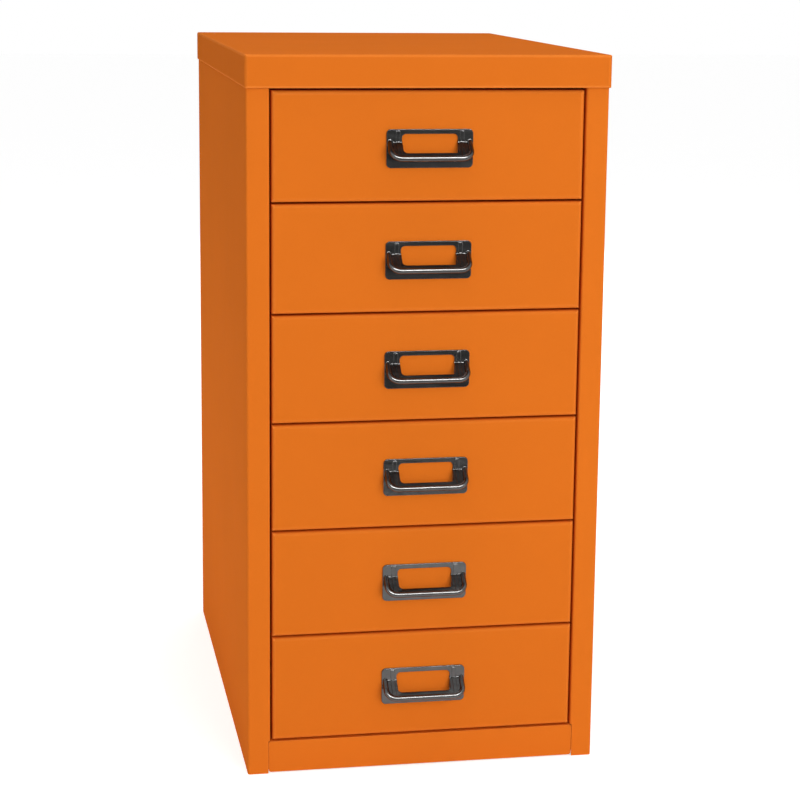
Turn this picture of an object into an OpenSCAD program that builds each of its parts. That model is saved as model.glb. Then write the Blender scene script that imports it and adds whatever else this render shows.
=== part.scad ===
// Six-drawer sheet steel cabinet for A4 papers, free standing, in millimetres.
// X runs to the right seen from the front, the front faces -Y, +Z is up.
// The origin is the bottom centre of the overall box, pulls included.

/* [Cabinet] */
// Height of the whole cabinet
cab_h = 590; // [500:1:700]
// Width of the body, without the cap's overhang
cab_w = 292; // [270:1:340]
// Depth of the body from the stiles' front face to the back
cab_d = 440; // [400:1:520]
// Thickness of the body sheet
body_sheet = 0.9; // [0.8:0.1:1.2]
// Outside bend radius of the body sheet
body_bend = 1.8; // [1.5:0.1:2.4]
// Width of the stile beside the drawers
stile_w = 18.6; // [17:0.1:22]
// Depth of the fold behind each stile
stile_return = 12; // [8:1:16]
// Width of the folds at the back and under the sides
seam_w = 15; // [10:1:20]

/* [Cap] */
// Height of the cap's skirt
cap_h = 26.4; // [22:0.1:32]
// How far the cap stands out at each side and behind
cap_side = 1.2; // [1.1:0.1:2]
// How far the cap stands out in front of the stiles
cap_front = 3; // [2:0.1:5]
// Rounding of the cap's upright corners
cap_corner = 3; // [2.5:0.1:4]
// Rounding of the cap's top and bottom edges
cap_edge = 1.8; // [1.5:0.1:2.4]

/* [Plinth] */
// Height of the plinth's top above the floor
plinth_top = 27.6; // [24:0.1:32]
// Gap between the plinth and the floor
plinth_lift = 1; // [0.6:0.1:2]
// How far the plinth's face sits behind the stiles
plinth_inset = 0.5; // [0.3:0.1:2]

/* [Drawers] */
// Gap round each drawer front
front_gap = 1.7; // [1.2:0.1:2.4]
// Depth of the hollow drawer front
front_d = 16; // [14:1:20]
// Thickness of the drawer sheet
drawer_sheet = 0.8; // [0.7:0.1:1]
// Rounding of a drawer front's top edge
front_edge = 2.6; // [2:0.1:3.4]
// Free height between a tray and the one above it
tray_clear = 27; // [24:1:40]
// Travel of a drawer, up to the stop pins in its runners
drawer_travel = 300; // [200:5:320]

/* [Runners] */
// Height inside a runner channel
channel_h = 5.6; // [5:0.1:7]
// Depth of a runner channel
channel_d = 9.6; // [9:0.1:12]
// Thickness of the runner steel
runner_sheet = 1; // [0.8:0.1:1.2]
// Width of an upright that carries the runners
post_w = 30; // [24:1:40]

/* [Pull] */
// Width of the pull's plate
pull_w = 69.6; // [60:0.1:80]
// Height of the pull's plate
pull_h = 30.6; // [28:0.1:34]
// Thickness of the pull's plate
pull_t = 1.4; // [1.2:0.1:1.8]
// Rounding of the plate's corners
pull_corner = 3.5; // [3:0.1:5]
// Width of the window
window_w = 44.5; // [38:0.5:48]
// Height of the plate above the window
window_top = 3.7; // [3:0.1:5]
// Height from the plate's top to the bend of the lip
lip_top = 10.5; // [9:0.1:12]
// How far the lip stands out from the drawer front
lip_reach = 16.2; // [14:0.1:18]
// How far the lip drops from its bend to the middle of its rim
lip_drop = 11.6; // [9:0.1:12]
// Diameter of the rolled rim
rim_d = 4.4; // [3.6:0.1:4.8]
// How far the middle of a pull sits below the middle of its drawer front
pull_down = 1.9; // [0:0.1:6]

/* [Hidden] */
$fn = 48;
paint = [0.89, 0.45, 0.13];
paint_inside = [0.80, 0.40, 0.12];
nickel = [0.33, 0.34, 0.36];
zinc = [0.66, 0.67, 0.68];
nylon = [0.15, 0.15, 0.16];

// Slack left between pieces that slide past each other, and overlap of cutting tools
slide_slack = 0.3;
cut = 1;

// Pull: its lip runs from the middle of the plate down to the middle of the rolled rim
elbow_swell = 0.12;
elbow_lap = 0.5;
lip_run = lip_reach - pull_t / 2 - (rim_d + elbow_swell) / 2;
lip_angle = atan2(lip_drop, lip_run);
lip_len = norm([lip_drop, lip_run]);
lip_sheet = 1.3;
lip_strip = 5.4;
lip_corner = 6;
lip_root = 1;
plate_strip = 5.4;
window_r = 3.4;
window_step = 0.3;
arm_inset = 0.5;
arm_x = pull_w / 2 - arm_inset - rim_d / 2;
arm_back = 3;
rim_r = 8.5;
rib_w = 3.2;
rib_rise = 0.7;
rib_inset = 9;
rib_x = pull_w / 2 - rib_inset;
stud_d = 4;
stud_hole_d = stud_d + 0.4;
stud_head_d = 7;
stud_head_t = 1;

// Depth: the overall box runs from the rim of the pulls to the back of the cap
overall_d = cab_d + lip_reach + cap_side;
front_y = lip_reach - overall_d / 2;
back_y = front_y + cab_d;

// Cabinet sections, measured out from the middle and up from the floor
half_w = cab_w / 2;
side_in = half_w - body_sheet;
opening = half_w - stile_w;
cap_z = cab_h - cap_h;
floor_fold = 14;
floor_drop = 6;
floor_z = plinth_top - floor_drop;
plinth_lap = 3;
plinth_d = stile_return + plinth_lap;
plinth_step = 0.7;
plinth_corner = 2;
rail_d = 18;
rail_setback = 0.6;
rail_rise = 1.5;
rail_z = cap_z + rail_rise;
brim_w = 10;
post_drop = 2;
post_setback = 36;
post_y = [front_y + post_setback, back_y - post_setback - post_w];

// Drawer fronts: six between the plinth and the cap, with the same gap all round
drawer_count = 6;
first_gap_z = plinth_top + front_gap / 2;
drawer_pitch = (cap_z - front_gap / 2 - first_gap_z) / drawer_count;
front_half = opening - front_gap;
front_h = drawer_pitch - front_gap;
liner_d = 8;
pull_z = drawer_pitch / 2 - pull_down;

// Runners and trays, measured out from the middle
runner_bend = 1.6;
runner_web = opening + body_sheet + slide_slack;
runner_in = runner_web - channel_d;
runner_gap = 2;
runner_setback = 20;
runner_y0 = front_y + front_d + runner_gap;
runner_y1 = back_y - runner_setback;
tray_bend = 2;
tray_gap = 1;
tray_setback = 25;
tray_half = runner_in - tray_gap;
tray_y0 = front_y + front_d;
tray_y1 = back_y - tray_setback;
tray_lift = 5;
tray_h = drawer_pitch - tray_clear;
end_drop = 4;
flange_half = runner_web - runner_sheet - tray_gap;
glide_len = 30;
glide_wall = (channel_h - drawer_sheet) / 2 - slide_slack;
glide_gap = 1.6;
glide_x0 = tray_half + glide_gap;
glide_x1 = runner_web - runner_sheet - slide_slack;
pin_d = 3;
pin_hole_d = pin_d + 0.2;
pin_head_d = 5;
pin_head_t = 0.8;
pin_x = (glide_x0 + glide_x1) / 2;
pin_y = tray_y1 - glide_len - drawer_travel - slide_slack - pin_d / 2;

// ---- Outlines and directions ----

// Rectangle between two corners with rounded corners
module round_rect(x0, y0, x1, y1, r) {
    translate([x0 + r, y0]) square([x1 - x0 - 2 * r, y1 - y0]);
    translate([x0, y0 + r]) square([x1 - x0, y1 - y0 - 2 * r]);
    for (x = [x0 + r, x1 - r], y = [y0 + r, y1 - r]) translate([x, y]) circle(r);
}

// Closed ring of bent sheet, t thick, with outside radius r
module sheet_ring(x0, y0, x1, y1, r, t) {
    difference() {
        round_rect(x0, y0, x1, y1, r);
        round_rect(x0 + t, y0 + t, x1 - t, y1 - t, r - t);
    }
}

// Drawn outline in X and Z, extruded from y0 to y1
module along_y(y0, y1) {
    translate([0, y1, 0]) rotate([90, 0, 0]) linear_extrude(y1 - y0) children();
}

// Drawn outline in Y and Z, extruded from x0 to x1
module along_x(x0, x1) {
    translate([x0, 0, 0]) rotate([90, 0, 90]) linear_extrude(x1 - x0) children();
}

// Drawn outline in X and Y, extruded from z0 to z1
module along_z(z0, z1) {
    translate([0, 0, z0]) linear_extrude(z1 - z0) children();
}

// Block between two corners
module block(x0, y0, z0, x1, y1, z1) {
    translate([x0, y0, z0]) cube([x1 - x0, y1 - y0, z1 - z0]);
}

// Height of the middle of the gap below drawer n, counted from the top
function gap_z(n) = first_gap_z + drawer_pitch * (drawer_count - n);

// Height of drawer n's lower edge, and of the middle of its tray's flanges
function drawer_z(n) = gap_z(n) + front_gap / 2;
function flange_z(n) = drawer_z(n) + tray_lift + tray_h - drawer_sheet / 2;

// ---- Cabinet ----

// Right side in one folded sheet: stile and its return in front, seams at the back and below
module side_shell() {
    difference() {
        union() {
            along_z(0, cab_h - body_sheet) difference() {
                sheet_ring(opening, front_y, half_w, back_y, body_bend, body_sheet);
                translate([opening - cut, front_y + stile_return]) square([body_sheet + cut, cab_d]);
                translate([opening - cut, back_y - body_sheet - cut])
                    square([stile_w - seam_w + cut, body_sheet + 2 * cut]);
            }
            block(side_in - seam_w, front_y + stile_return, 0,
                side_in + body_sheet / 2, back_y - 2 * body_sheet - slide_slack, body_sheet);
        }
        // The stile is cut back a little beside the plinth
        block(opening - cut, front_y - cut, -cut,
            opening + body_sheet + plinth_step, front_y + stile_return + cut, plinth_top + slide_slack);
    }
}

module left_side() color(paint) mirror([1, 0, 0]) side_shell();

module right_side() color(paint) side_shell();

// Back sheet, inside the rear seams, with a fold along its foot and its head
module back_panel() color(paint) {
    x = side_in - body_bend + body_sheet - slide_slack;
    y = back_y - body_sheet;
    foot = body_sheet;
    head = cab_h - body_sheet;
    along_x(-x, x) difference() {
        sheet_ring(y - seam_w, foot, y, head, body_bend, body_sheet);
        translate([y - seam_w - cut, foot + body_sheet])
            square([body_bend + cut, head - foot - 2 * body_sheet]);
    }
}

// Floor of the cabinet: a pan with its folds turned down against the sides
module base_panel() color(paint) {
    foot = floor_z - floor_fold;
    y0 = front_y + plinth_inset + plinth_d + slide_slack;
    along_y(y0, back_y - seam_w - body_sheet - slide_slack) difference() {
        sheet_ring(-side_in, foot, side_in, floor_z, body_bend, body_sheet);
        translate([-side_in + body_sheet, foot - cut])
            square([2 * (side_in - body_sheet), floor_fold - body_sheet + cut]);
    }
}

// Plinth: a pan between the stiles with rounded corners
module plinth() color(paint) {
    x = opening + body_sheet + plinth_step - slide_slack;
    y = front_y + plinth_inset;
    in = body_sheet;
    difference() {
        along_y(y, y + plinth_d) round_rect(-x, plinth_lift, x, plinth_top, plinth_corner);
        along_y(y + in, y + plinth_d + cut)
            round_rect(-x + in, plinth_lift + in, x - in, plinth_top - in, plinth_corner - in);
    }
}

// Rail that ties the stiles together behind the cap's skirt
module top_rail() color(paint) {
    y0 = front_y + rail_setback;
    y1 = y0 + rail_d;
    top = cab_h - body_sheet;
    along_x(-opening, opening) difference() {
        sheet_ring(y0, rail_z, y1, top, body_bend, body_sheet);
        translate([y1 - body_sheet, rail_z + body_sheet])
            square([body_sheet + cut, top - rail_z - 2 * body_sheet]);
    }
}

// Cap: a pressed lid whose skirt hides the tops of the sides
module top_cap() color(paint) {
    x = half_w + cap_side;
    y0 = front_y - cap_front;
    y1 = back_y + cap_side;
    difference() {
        intersection() {
            along_z(cap_z, cab_h) round_rect(-x, y0, x, y1, cap_corner);
            along_x(-x, x) round_rect(y0, cap_z, y1, cab_h, cap_edge);
            along_y(y0, y1) round_rect(-x, cap_z, x, cab_h, cap_edge);
        }
        along_z(cap_z - cut, cab_h - body_sheet) round_rect(-x + body_sheet, y0 + body_sheet,
            x - body_sheet, y1 - body_sheet, cap_corner - body_sheet);
    }
}

// Upright that spaces the runners from the right side: a hat section with its brims on the side
module post(y) {
    foot_x = side_in + 2 * body_bend;
    along_z(floor_z, cap_z - post_drop) {
        difference() {
            round_rect(runner_web, y, foot_x, y + post_w, body_bend);
            round_rect(runner_web + body_sheet, y + body_sheet, foot_x, y + post_w - body_sheet,
                body_bend - body_sheet);
            translate([side_in, y - cut]) square([2 * body_bend + cut, post_w + 2 * cut]);
        }
        for (brim_y = [y - brim_w, y + post_w - body_sheet])
            translate([side_in - body_sheet, brim_y]) square([body_sheet, brim_w + body_sheet]);
    }
}

// Channel for the right flange of drawer n, with a hole for its stop pin
module runner(n) {
    x0 = runner_in - 2 * runner_bend;
    z0 = flange_z(n) - channel_h / 2 - runner_sheet;
    z1 = flange_z(n) + channel_h / 2 + runner_sheet;
    difference() {
        along_y(runner_y0, runner_y1) difference() {
            sheet_ring(x0, z0, runner_web, z1, runner_bend, runner_sheet);
            translate([x0 - cut, z0 - cut]) square([runner_in - x0 + cut, z1 - z0 + 2 * cut]);
        }
        translate([pin_x, pin_y, z0 - cut]) cylinder(h = runner_sheet + 2 * cut, d = pin_hole_d);
    }
}

// Pin riveted up through the right runner of drawer n, which stops the glide at full travel
module stop_pin(n) {
    z0 = flange_z(n) - channel_h / 2 - runner_sheet;
    translate([pin_x, pin_y, z0 - pin_head_t]) {
        cylinder(h = pin_head_t, d = pin_head_d);
        cylinder(h = pin_head_t + runner_sheet + glide_wall, d = pin_d);
    }
}

module runner_stops() color(zinc)
    for (n = [1:drawer_count], side = [0, 1]) mirror([side, 0, 0]) stop_pin(n);

module left_post(y) color(paint_inside) mirror([1, 0, 0]) post(y);

module right_post(y) color(paint_inside) post(y);

module left_runner(n) color(zinc) mirror([1, 0, 0]) runner(n);

module right_runner(n) color(zinc) runner(n);

// ---- Drawers ----

// Solid form of drawer n's front, drawn in by `in` on every side but the back,
// which stands out by `over`
module front_form(n, in, over) {
    x = front_half - in;
    z0 = drawer_z(n) + in;
    z1 = z0 + front_h - 2 * in;
    y0 = front_y + in;
    y1 = front_y + front_d + over;
    r = front_edge - in;
    intersection() {
        along_x(-x, x) {
            translate([y0, z0 + r]) square([y1 - y0, z1 - z0 - 2 * r]);
            translate([y0 + r, z0]) square([y1 - y0 - r, z1 - z0]);
            for (z = [z0 + r, z1 - r]) translate([y0 + r, z]) circle(r);
        }
        along_z(z0, z1) {
            translate([-x, y0 + r]) square([2 * x, y1 - y0 - r]);
            translate([-x + r, y0]) square([2 * (x - r), y1 - y0]);
            for (side = [-x + r, x - r]) translate([side, y0 + r]) circle(r);
        }
    }
}

// Outer skin of drawer n's front: a pressed pan open at the back, with holes for the pull's studs
module front(n) color(paint) {
    difference() {
        front_form(n, 0, 0);
        front_form(n, drawer_sheet, cut);
        for (x = [-rib_x, rib_x]) translate([x, front_y - cut, gap_z(n) + pull_z]) rotate([-90, 0, 0])
            cylinder(h = drawer_sheet + 2 * cut, d = stud_hole_d);
    }
}

// Inner skin of drawer n's front: a shallow pan that closes the outer one
module liner(n) color(paint) {
    s = drawer_sheet;
    x = front_half - s;
    z0 = drawer_z(n) + s;
    z1 = z0 + front_h - 2 * s;
    y1 = front_y + front_d;
    difference() {
        block(-x, y1 - liner_d, z0, x, y1, z1);
        block(-x + s, y1 - liner_d - cut, z0 + s, x - s, y1 - s, z1 - s);
    }
}

// Tray of drawer n: floor, sides with flanges turned out at the top, front wall and back wall
module tray(n) color(paint_inside) {
    z0 = drawer_z(n) + tray_lift;
    z1 = z0 + tray_h;
    s = drawer_sheet;
    over = 2 * tray_bend;
    along_y(tray_y0, tray_y1) {
        difference() {
            sheet_ring(-tray_half, z0, tray_half, z1 + over, tray_bend, s);
            translate([-tray_half - cut, z1]) square([2 * (tray_half + cut), over + cut]);
        }
        for (x = [-flange_half, tray_half - s])
            translate([x, z1 - s]) square([flange_half - tray_half + s, s]);
    }
    for (y = [tray_y0, tray_y1 - s])
        along_y(y, y + s) difference() {
            round_rect(-tray_half, z0, tray_half, z1 + over, tray_bend);
            translate([-tray_half - cut, z1 - end_drop])
                square([2 * (tray_half + cut), end_drop + over + cut]);
        }
}

// Nylon glide on the rear end of drawer n's right flange
module glide(n) {
    outer = glide_wall + drawer_sheet / 2;
    along_y(tray_y1 - glide_len, tray_y1) difference() {
        translate([glide_x0, flange_z(n) - outer]) square([glide_x1 - glide_x0, 2 * outer]);
        translate([tray_half, flange_z(n) - drawer_sheet / 2])
            square([flange_half - tray_half, drawer_sheet]);
    }
}

module left_glide(n) color(nylon) mirror([1, 0, 0]) glide(n);

module right_glide(n) color(nylon) glide(n);

// ---- Pull ----

// Places children on the slope of the lip: X across, Y down the slope from the bend, Z square to it
module on_slope() {
    translate([0, -pull_t / 2, pull_h / 2 - lip_top]) rotate([0, 0, 180]) rotate([-lip_angle, 0, 0])
        children();
}

// Children on both sides of the middle
module both_sides() {
    children();
    mirror([1, 0, 0]) children();
}

// Rolled rim of the lip: two arms, two elbows and the bar between them
module rim() {
    elbow_x = arm_x - rim_r;
    elbow_y = lip_len - rim_r;
    both_sides() {
        translate([arm_x, -arm_back, 0]) rotate([-90, 0, 0])
            cylinder(h = arm_back + elbow_y + elbow_lap, d = rim_d);
        translate([elbow_x, elbow_y, 0]) rotate_extrude(angle = 90) translate([rim_r, 0])
            circle(d = rim_d + elbow_swell);
    }
    translate([-elbow_x - elbow_lap, lip_len, 0]) rotate([0, 90, 0])
        cylinder(h = 2 * (elbow_x + elbow_lap), d = rim_d);
}

// Sheet of the lip between the middles of its arms and its bar, with the window running into it
module lip() {
    elbow_y = lip_len - rim_r;
    corner_x = arm_x - lip_corner;
    hole_x = window_w / 2;
    difference() {
        along_z(-lip_sheet / 2, lip_sheet / 2) polygon([
            [-arm_x, -lip_root], [arm_x, -lip_root], [arm_x, elbow_y],
            [corner_x, lip_len], [-corner_x, lip_len], [-arm_x, elbow_y]]);
        along_z(-lip_sheet, lip_sheet)
            round_rect(-hole_x, -4 * window_r, hole_x, lip_len - lip_strip, window_r);
    }
}

// Plate of the pull with its label window
module plate() {
    hole_x = window_w / 2 + window_step;
    difference() {
        along_y(-pull_t, 0) round_rect(-pull_w / 2, -pull_h / 2, pull_w / 2, pull_h / 2, pull_corner);
        along_y(-pull_t - cut, cut)
            round_rect(-hole_x, -pull_h / 2 + plate_strip, hole_x, pull_h / 2 - window_top, window_r);
    }
}

// Raised rib beside the window, down the plate and on down the lip
module rib() {
    bend_z = pull_h / 2 - lip_top;
    along_x(rib_x - rib_w / 2, rib_x + rib_w / 2) {
        translate([-pull_t - rib_rise, bend_z]) square([pull_t / 2 + rib_rise, lip_top - pull_t]);
        translate([-pull_t / 2, bend_z]) rotate([0, 0, lip_angle - 180])
            translate([0, -lip_sheet / 2 - rib_rise]) square([lip_len - rim_d / 4, lip_sheet / 2 + rib_rise]);
    }
}

// Cast pull with a label window, a lip to hook the fingers under and two riveted studs,
// its middle at the origin and its back on y = 0
module pull_form() {
    difference() {
        union() {
            plate();
            on_slope() {
                lip();
                rim();
            }
            both_sides() rib();
        }
        block(-pull_w, 0, -pull_h, pull_w, 2 * rim_d, pull_h);
    }
    both_sides() {
        translate([rib_x, -pull_t / 2, 0]) rotate([-90, 0, 0])
            cylinder(h = pull_t / 2 + drawer_sheet + stud_head_t, d = stud_d);
        translate([rib_x, drawer_sheet, 0]) rotate([-90, 0, 0]) cylinder(h = stud_head_t, d = stud_head_d);
    }
}

module pull(n) color(nickel) translate([0, front_y, gap_z(n) + pull_z]) pull_form();

// ---- Nodes ----

left_side();
right_side();
back_panel();
base_panel();
plinth();
top_rail();
top_cap();
left_post(post_y[0]);  // left_front_post
left_post(post_y[1]);  // left_rear_post
right_post(post_y[0]);  // right_front_post
right_post(post_y[1]);  // right_rear_post
runner_stops();
for (n = [1:drawer_count]) {
    left_runner(n);
    right_runner(n);
    front(n);
    liner(n);
    tray(n);
    left_glide(n);
    right_glide(n);
    pull(n);
}
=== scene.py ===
"""Dresses the six-drawer steel cabinet: paint, plated metal, the pulls' inside bends, studio and camera.

Units are metres in the row frame: X to the right, the front faces -Y, Z up, the floor at 0.
"""
import math

import bmesh
import bpy
from mathutils import Matrix, Vector

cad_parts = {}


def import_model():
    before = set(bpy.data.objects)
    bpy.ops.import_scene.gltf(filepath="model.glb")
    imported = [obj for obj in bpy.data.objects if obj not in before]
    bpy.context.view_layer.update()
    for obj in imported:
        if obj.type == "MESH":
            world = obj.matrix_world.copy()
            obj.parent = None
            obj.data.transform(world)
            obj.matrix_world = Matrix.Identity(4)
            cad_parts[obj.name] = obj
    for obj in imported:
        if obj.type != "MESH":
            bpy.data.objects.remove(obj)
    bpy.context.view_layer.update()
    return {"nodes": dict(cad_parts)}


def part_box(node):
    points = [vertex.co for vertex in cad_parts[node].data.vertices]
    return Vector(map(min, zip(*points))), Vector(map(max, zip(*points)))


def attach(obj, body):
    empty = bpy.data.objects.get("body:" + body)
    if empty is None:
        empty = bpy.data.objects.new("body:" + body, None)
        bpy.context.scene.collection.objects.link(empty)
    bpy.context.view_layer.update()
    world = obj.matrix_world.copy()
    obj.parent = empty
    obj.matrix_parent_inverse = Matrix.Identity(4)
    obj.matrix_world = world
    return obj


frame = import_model()

DRAWERS = range(1, 7)
MM = 0.001

# Paint colours, linear, one orange coat in three tones: on fronts and cap; a lighter copy on the body's
# sheets, painted light; and a darker copy on the inner parts, painted shade
ORANGE = (0.778, 0.178, 0.0152)
ORANGE_BODY_LIT = (0.805, 0.185, 0.0160)
ORANGE_SHADED = (0.718, 0.157, 0.0126)
# Paint: the shade of its clouds, how its pale specks and the painted highlight on bends change red,
# green and blue, and its slight sheen
CLOUD_SHADE = 0.965
SPECK_AND_HIGHLIGHT_TINT = (1.24, 1.58, 3.1)
PAINT_SHEEN = 0.008
# Paint: how rough it is on trays and outside, and on the uprights and floor, and how far that varies
PAINT_ROUGH = 0.86
INSIDE_ROUGH = 0.88
SMOOTHER = 0.03
ROUGHER = 0.04
# How wide the painted highlight runs beside a bend, on the body's sheets and inside, on the cap and on
# the fronts
BODY_HIGHLIGHT_WIDTH = 0.7 * MM
CAP_HIGHLIGHT_WIDTH = 2.0 * MM
FRONT_HIGHLIGHT_WIDTH = 2.2 * MM
# How far the shading of an edge is rounded, on paint and on the castings, and in how many samples
PAINT_SOFT = 0.5 * MM
CAST_SOFT = 0.8 * MM
SOFT_SAMPLES = 4

# Other colours, linear, and the shade of each one's mottling
DARK_NICKEL = (0.104, 0.103, 0.102)
NICKEL_SHADE = 0.80
ZINC = (0.560, 0.570, 0.580)
ZINC_SHADE = 0.78
NYLON = (0.030, 0.030, 0.033)
NYLON_SHADE = 1.6

# The cast pull, as in the part's source, and the soft inside bend between its plate and lip
PULL_T = 1.4 * MM
LIP_TOP = 10.5 * MM
LIP_DROP = 11.6 * MM
LIP_RUN = 13.24 * MM
LIP_SHEET = 1.3 * MM
WINDOW_W = 44.5 * MM
RIB_X = 25.8 * MM
RIB_W = 3.2 * MM
ARM_X = 30.5 * MM
FILLET_R = 1.8 * MM
FILLET_SINK = 0.2 * MM
FILLET_STEPS = 8
HARD_EDGE = 30.0

# Studio: what the lamps aim at, and the world's fill on matt surfaces
MIDDLE = (0.0, 0.0, 0.3)
WORLD_FILL = 0.38
# Floor: its size, tone, roughness and sheen, and its glow where it is seen
FLOOR_SIZE = 24.0
FLOOR_TONE = 0.90
FLOOR_ROUGH = 0.9
FLOOR_SHEEN = 0.1
FLOOR_GLOW = 0.62
# The dark cards: their tone and glow
CARD_TONE = 0.02
CARD_GLOW = 0.12

# Camera: eye, turn, tilt and roll in degrees, lens for a 36 mm sensor, and the frame's shift
EYE = (-0.3142, -1.8209, 0.6675)
TURN = 10.292
TILT = 10.899
ROLL = 0.596
LENS = 93.13
SENSOR = 36.0
SHIFT_Y = -0.06


# ---- Materials ----

def shade(colour, factor):
    """A colour made darker or lighter by one factor."""
    return tuple(factor * c for c in colour)


def grey(tone):
    """A grey of one tone, with its alpha."""
    return (tone, tone, tone, 1.0)


class Graph:
    """A material's node tree with short calls for the nodes used here."""

    def __init__(self, name):
        self.material = bpy.data.materials.new(name)
        self.material.use_nodes = True
        self.tree = self.material.node_tree
        self.tree.nodes.clear()
        self.output = self.tree.nodes.new("ShaderNodeOutputMaterial")
        self.shader = self.tree.nodes.new("ShaderNodeBsdfPrincipled")
        self.link(self.shader.outputs[0], self.output.inputs["Surface"])
        self.place = self.tree.nodes.new("ShaderNodeTexCoord").outputs["Object"]

    def link(self, source, target):
        self.tree.links.new(source, target)

    def feed(self, **sources):
        """Links each source to the shader's socket of that name."""
        for name, source in sources.items():
            self.link(source, self.shader.inputs[name.replace("_", " ")])

    def fixed(self, **values):
        """Sets each value on the shader's socket of that name."""
        for name, value in values.items():
            self.shader.inputs[name.replace("_", " ")].default_value = value

    def noise(self, scale, detail=2.0, stretch=None):
        """Noise between 0 and 1 on the object's own coordinates, stretched along them where asked."""
        node = self.tree.nodes.new("ShaderNodeTexNoise")
        node.inputs["Scale"].default_value = scale
        node.inputs["Detail"].default_value = detail
        source = self.place
        if stretch:
            mapping = self.tree.nodes.new("ShaderNodeMapping")
            mapping.inputs["Scale"].default_value = stretch
            self.link(self.place, mapping.inputs["Vector"])
            source = mapping.outputs["Vector"]
        self.link(source, node.inputs["Vector"])
        return node.outputs[0]

    def voronoi(self, scale):
        """Random tones in small cells."""
        node = self.tree.nodes.new("ShaderNodeTexVoronoi")
        node.inputs["Scale"].default_value = scale
        self.link(self.place, node.inputs["Vector"])
        return node.outputs["Color"]

    def ramp(self, value, low=0.0, high=1.0, start=0.3, end=0.7):
        """Runs from low to high while the value runs from start to end."""
        node = self.tree.nodes.new("ShaderNodeMapRange")
        node.inputs["From Min"].default_value = start
        node.inputs["From Max"].default_value = end
        node.inputs["To Min"].default_value = low
        node.inputs["To Max"].default_value = high
        self.link(value, node.inputs["Value"])
        return node.outputs["Result"]

    def mix(self, factor, low, high):
        """Mixes two colours, each a socket or three numbers."""
        node = self.tree.nodes.new("ShaderNodeMix")
        node.data_type = "RGBA"
        colours_in = [socket for socket in node.inputs if socket.type == "RGBA"]
        self.link(factor, node.inputs[0])
        for socket, value in zip(colours_in, (low, high)):
            if hasattr(value, "links"):
                self.link(value, socket)
            else:
                socket.default_value = (*value, 1.0)
        return next(socket for socket in node.outputs if socket.type == "RGBA")

    def bump(self, height, distance, under=None):
        """A bumped normal, laid over another one where it is given."""
        node = self.tree.nodes.new("ShaderNodeBump")
        node.inputs["Distance"].default_value = distance
        self.link(height, node.inputs["Height"])
        if under:
            self.link(under, node.inputs["Normal"])
        return node.outputs["Normal"]

    def soften(self, radius):
        """The surface's normal with every edge rounded off within radius."""
        bevel = self.tree.nodes.new("ShaderNodeBevel")
        bevel.samples = SOFT_SAMPLES
        bevel.inputs["Radius"].default_value = radius
        return bevel.outputs["Normal"]

    def flatness(self, soft):
        """1 on flat sheet, lower where the softened normal turns away from the true one."""
        geometry = self.tree.nodes.new("ShaderNodeNewGeometry")
        dot = self.tree.nodes.new("ShaderNodeVectorMath")
        dot.operation = "DOT_PRODUCT"
        self.link(soft, dot.inputs[0])
        self.link(geometry.outputs["True Normal"], dot.inputs[1])
        return dot.outputs["Value"]


def paint(name, colour, rough=PAINT_ROUGH, bend=BODY_HIGHLIGHT_WIDTH):
    """Matt powder coat: faint clouds and specks, a painted highlight along every bend, orange peel."""
    g = Graph(name)
    speck_and_highlight = tuple(c * change for c, change in zip(colour, SPECK_AND_HIGHLIGHT_TINT))
    cloud = g.ramp(g.noise(scale=7.0, detail=3.0))
    base = g.mix(cloud, colour, shade(colour, CLOUD_SHADE))
    speck = g.ramp(g.noise(scale=1500.0, detail=1.0), high=0.06, start=0.45, end=0.75)
    base = g.mix(speck, base, speck_and_highlight)
    # The pale colour laid along every bend is a painted highlight
    edge = g.ramp(g.flatness(g.soften(bend)), low=1.0, high=0.0, start=0.93, end=0.998)
    base = g.mix(edge, base, speck_and_highlight)
    uneven = g.ramp(g.noise(scale=40.0, detail=4.0), low=rough - SMOOTHER, high=rough + ROUGHER)
    peel = g.bump(g.noise(scale=620.0), distance=0.035 * MM, under=g.soften(PAINT_SOFT))
    g.feed(Base_Color=base, Roughness=uneven, Normal=peel)
    g.fixed(Metallic=0.0, IOR=1.5, Specular_IOR_Level=PAINT_SHEEN)
    return g.material


def nickel(name):
    """Dark nickel plate on a casting: uneven tint, fine rub marks and a faint ripple."""
    g = Graph(name)
    tint = g.ramp(g.noise(scale=120.0, detail=3.0))
    base = g.mix(tint, DARK_NICKEL, shade(DARK_NICKEL, NICKEL_SHADE))
    rub = g.noise(scale=260.0, detail=4.0, stretch=(0.15, 1.0, 1.0))
    ripple = g.bump(g.noise(scale=180.0), distance=0.06 * MM, under=g.soften(CAST_SOFT))
    g.feed(Base_Color=base, Roughness=g.ramp(rub, low=0.13, high=0.24), Normal=ripple)
    g.fixed(Metallic=1.0)
    return g.material


def zinc(name):
    """Zinc plate with a faint spangle and lengthwise draw marks."""
    g = Graph(name)
    spangle = g.ramp(g.voronoi(scale=260.0), start=0.2, end=0.8)
    base = g.mix(spangle, ZINC, shade(ZINC, ZINC_SHADE))
    drawn = g.noise(scale=500.0, detail=3.0, stretch=(1.0, 0.02, 1.0))
    marks = g.bump(drawn, distance=0.02 * MM)
    g.feed(Base_Color=base, Roughness=g.ramp(drawn, low=0.28, high=0.46), Normal=marks)
    g.fixed(Metallic=1.0)
    return g.material


def nylon(name):
    """Moulded black nylon with a fine spark-eroded grain."""
    g = Graph(name)
    tone = g.ramp(g.noise(scale=90.0))
    base = g.mix(tone, NYLON, shade(NYLON, NYLON_SHADE))
    uneven = g.ramp(g.noise(scale=900.0), low=0.42, high=0.58)
    grain = g.bump(g.noise(scale=1400.0), distance=0.03 * MM)
    g.feed(Base_Color=base, Roughness=uneven, Normal=grain)
    return g.material


# The body's sheets take a lighter copy of the front orange, painted light
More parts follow.
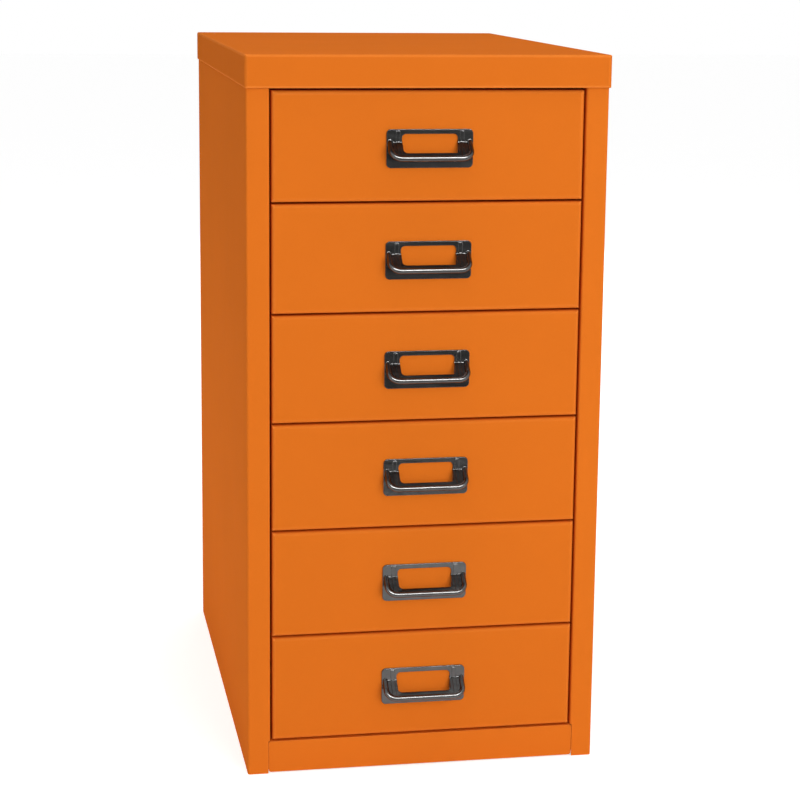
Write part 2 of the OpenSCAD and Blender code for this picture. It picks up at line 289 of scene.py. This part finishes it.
PAINT_BODY = paint("orange_coat_body_lit", ORANGE_BODY_LIT)
PAINT_CAP = paint("orange_coat_cap", ORANGE, bend=CAP_HIGHLIGHT_WIDTH)
PAINT_FRONT = paint("orange_coat_front", ORANGE, bend=FRONT_HIGHLIGHT_WIDTH)
# Trays and inner parts take a darker copy of the orange, painted shade
PAINT_TRAY = paint("orange_coat_tray_shaded", ORANGE_SHADED)
PAINT_INSIDE = paint("orange_coat_inside_shaded", ORANGE_SHADED, rough=INSIDE_ROUGH)
NICKEL = nickel("dark_nickel")
ZINC_PLATE = zinc("zinc_plate")
BLACK_NYLON = nylon("black_nylon")


# ---- The pieces from the CAD ----

def dress(node, material):
    """Gives a CAD node its material, and shades its curves smoothly."""
    obj = frame["nodes"][node]
    obj.data.materials.clear()
    obj.data.materials.append(material)
    for polygon in obj.data.polygons:
        polygon.use_smooth = True


def dress_cabinet():
    """Paint on the sheet pieces and uprights, zinc on the runners and their stops."""
    dress("top_cap", PAINT_CAP)
    for node in ("left_side", "right_side", "plinth", "top_rail", "back_panel"):
        dress(node, PAINT_BODY)
    for node in ("base_panel", "left_front_post", "left_rear_post", "right_front_post",
                 "right_rear_post"):
        dress(node, PAINT_INSIDE)
    for side in ("left", "right"):
        for n in DRAWERS:
            dress(f"{side}_runner_{n}", ZINC_PLATE)
    dress("runner_stops", ZINC_PLATE)


def dress_drawers():
    """Paint on fronts and trays, nylon on the glides, nickel on the pulls."""
    for n in DRAWERS:
        dress(f"drawer_{n}_front", PAINT_FRONT)
        dress(f"drawer_{n}_liner", PAINT_TRAY)
        dress(f"drawer_{n}_tray", PAINT_TRAY)
        dress(f"drawer_{n}_left_glide", BLACK_NYLON)
        dress(f"drawer_{n}_right_glide", BLACK_NYLON)
        dress(f"drawer_{n}_pull", NICKEL)


# ---- The pulls' inside bends ----

def bend_section(front_y, pull_top):
    """The bend's outline in the Y-Z plane: an arc from plate to lip, and a point sunk in the corner."""
    slope = math.atan2(LIP_DROP, LIP_RUN)
    down = Vector((0.0, -math.cos(slope), -math.sin(slope)))
    outward = Vector((0.0, -math.sin(slope), math.cos(slope)))
    # The corner: where the lip's upper skin meets the plate's front skin
    along = (PULL_T / 2 - LIP_SHEET / 2 * math.sin(slope)) / math.cos(slope)
    bend = Vector((0.0, front_y - PULL_T / 2, pull_top - LIP_TOP))
    corner = bend + along * down + LIP_SHEET / 2 * outward
    # The arc touches the plate above the corner and the lip below it
    turn = math.pi / 2 - slope
    centre = corner + Vector((0.0, -FILLET_R, FILLET_R * math.tan(turn / 2)))
    section = []
    for i in range(FILLET_STEPS + 1):
        angle = turn * i / FILLET_STEPS
        section.append(centre + FILLET_R * Vector((0.0, math.cos(angle), -math.sin(angle))))
    section.append(corner + FILLET_SINK * (Vector((0.0, 1.0, 0.0)) - outward))
    return section


def add_bar(mesh, section, start_x, end_x):
    """Adds a closed bar of one section that runs along X between two places."""
    start, end = [[mesh.verts.new((x, p.y, p.z)) for p in section] for x in (start_x, end_x)]
    for i in range(len(section)):
        j = (i + 1) % len(section)
        mesh.faces.new((start[i], start[j], end[j], end[i]))
    mesh.faces.new(start)
    mesh.faces.new(end)


def bend_fillets(n):
    """The soft inside bend where the pull's lip leaves its plate, on both sides of each rib."""
    front_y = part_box(f"drawer_{n}_front")[0][1]
    low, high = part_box(f"drawer_{n}_pull")
    middle_x = (low[0] + high[0]) / 2
    section = bend_section(front_y, high[2])
    mesh = bmesh.new()
    for inner, outer in ((WINDOW_W / 2, RIB_X - RIB_W / 2), (RIB_X + RIB_W / 2, ARM_X)):
        for side in (-1, 1):
            add_bar(mesh, section, middle_x + side * inner, middle_x + side * outer)
    bmesh.ops.recalc_face_normals(mesh, faces=mesh.faces)
    data = bpy.data.meshes.new(f"drawer_{n}_bend")
    mesh.to_mesh(data)
    mesh.free()
    piece = bpy.data.objects.new(f"drawer_{n}_bend", data)
    bpy.context.scene.collection.objects.link(piece)
    data.materials.append(NICKEL)
    for polygon in data.polygons:
        polygon.use_smooth = True
    split = piece.modifiers.new("hard_edges", "EDGE_SPLIT")
    split.split_angle = math.radians(HARD_EDGE)
    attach(piece, f"drawer_{n}")


# ---- Studio ----

def shows_plain(tree):
    """1 for rays from the camera, or reflected or passed through by gloss and glass, else 0."""
    path = tree.nodes.new("ShaderNodeLightPath")
    seen = path.outputs["Is Camera Ray"]
    for name in ("Is Glossy Ray", "Is Transmission Ray"):
        either = tree.nodes.new("ShaderNodeMath")
        either.operation = "MAXIMUM"
        tree.links.new(seen, either.inputs[0])
        tree.links.new(path.outputs[name], either.inputs[1])
        seen = either.outputs[0]
    return seen


def world():
    """White where it is seen, and a soft even fill on the object."""
    scene_world = bpy.data.worlds.new("studio_world")
    bpy.context.scene.world = scene_world
    scene_world.use_nodes = True
    tree = scene_world.node_tree
    tree.nodes.clear()
    output = tree.nodes.new("ShaderNodeOutputWorld")
    background = tree.nodes.new("ShaderNodeBackground")
    background.inputs["Color"].default_value = grey(1.0)
    level = tree.nodes.new("ShaderNodeMapRange")
    level.inputs["To Min"].default_value = WORLD_FILL
    level.inputs["To Max"].default_value = 1.0
    tree.links.new(shows_plain(tree), level.inputs["Value"])
    tree.links.new(level.outputs["Result"], background.inputs["Strength"])
    tree.links.new(background.outputs[0], output.inputs["Surface"])


def floor():
    """A wide pale floor, lifted to white where it is seen, that still takes the object's shadow."""
    bpy.ops.mesh.primitive_plane_add(size=FLOOR_SIZE, location=(0.0, 0.0, 0.0))
    plane = bpy.context.object
    plane.name = "floor"
    material = bpy.data.materials.new("pale_floor")
    material.use_nodes = True
    tree = material.node_tree
    shader = tree.nodes["Principled BSDF"]
    shader.inputs["Base Color"].default_value = grey(FLOOR_TONE)
    shader.inputs["Roughness"].default_value = FLOOR_ROUGH
    shader.inputs["Specular IOR Level"].default_value = FLOOR_SHEEN
    shader.inputs["Emission Color"].default_value = grey(1.0)
    level = tree.nodes.new("ShaderNodeMath")
    level.operation = "MULTIPLY"
    level.inputs[1].default_value = FLOOR_GLOW
    tree.links.new(shows_plain(tree), level.inputs[0])
    tree.links.new(level.outputs[0], shader.inputs["Emission Strength"])
    plane.data.materials.append(material)


def lamp(name, place, size, power, aim=MIDDLE, gloss_only=False, matt_only=False):
    """A soft box at a place, pointed at aim, that can leave out the matt or the glossy light."""
    data = bpy.data.lights.new(name, "AREA")
    data.shape = "RECTANGLE"
    data.size, data.size_y = size
    data.energy = power
    obj = bpy.data.objects.new(name, data)
    bpy.context.scene.collection.objects.link(obj)
    obj.location = place
    obj.rotation_euler = (Vector(aim) - Vector(place)).to_track_quat("-Z", "Y").to_euler()
    obj.visible_camera = False
    obj.visible_diffuse = not gloss_only
    obj.visible_glossy = not matt_only


def flag(name, place, size, tilt):
    """A dark card, seen by reflections alone, so that the plated pulls keep their contrast."""
    bpy.ops.mesh.primitive_plane_add(size=1.0, location=place, rotation=(math.radians(tilt), 0.0, 0.0))
    card = bpy.context.object
    card.name = name
    card.scale = (*size, 1.0)
    card.visible_camera = False
    card.visible_diffuse = False
    card.visible_shadow = False
    material = bpy.data.materials.new(name + "_card")
    material.use_nodes = True
    shader = material.node_tree.nodes["Principled BSDF"]
    shader.inputs["Base Color"].default_value = grey(CARD_TONE)
    shader.inputs["Roughness"].default_value = 1.0
    shader.inputs["Emission Color"].default_value = grey(1.0)
    shader.inputs["Emission Strength"].default_value = CARD_GLOW
    card.data.materials.append(material)


def studio():
    """White surroundings, five soft boxes, and two dark cards for the pulls to reflect."""
    world()
    floor()
    # The main light, in front to the right, and the matt light from above
    lamp("key_box", place=(0.9, -2.6, 0.95), size=(1.6, 1.6), power=35.0)
    lamp("top_box", place=(0.0, -0.3, 2.4), size=(1.6, 1.2), power=13.6, matt_only=True)
    # A low strip beside the left side's foot
    lamp("left_box", place=(-0.75, 0.1, 0.10), aim=(-0.15, 0.0, 0.04), size=(0.9, 0.15), power=0.95)
    # Matt light for the back
    lamp("rear_box", place=(0.9, 2.6, 1.0), size=(1.6, 1.6), power=14.0, matt_only=True)
    # A strip that draws the lit line along the pulls' rims
    lamp("rim_box", place=(0.0, -1.6, 1.7), size=(2.2, 0.5), power=90.0, gloss_only=True)
    flag("front_flag", place=(0.1, -1.0, 0.36), size=(1.3, 0.68), tilt=90.0)
    flag("top_flag", place=(0.0, -0.02, 1.5), size=(1.8, 1.03), tilt=0.0)


def camera():
    """The camera where the photograph was taken from."""
    data = bpy.data.cameras.new("camera")
    data.sensor_width = SENSOR
    data.lens = LENS
    data.shift_y = SHIFT_Y
    obj = bpy.data.objects.new("camera", data)
    bpy.context.scene.collection.objects.link(obj)
    obj.matrix_world = (
        Matrix.Translation(EYE)
        @ Matrix.Rotation(math.radians(-TURN), 4, "Z")
        @ Matrix.Rotation(math.radians(90.0 - TILT), 4, "X")
        @ Matrix.Rotation(math.radians(ROLL), 4, "Z"))
    bpy.context.scene.camera = obj


dress_cabinet()
dress_drawers()
for number in DRAWERS:
    bend_fillets(number)
studio()
camera()
bpy.context.scene.view_settings.view_transform = "Standard"
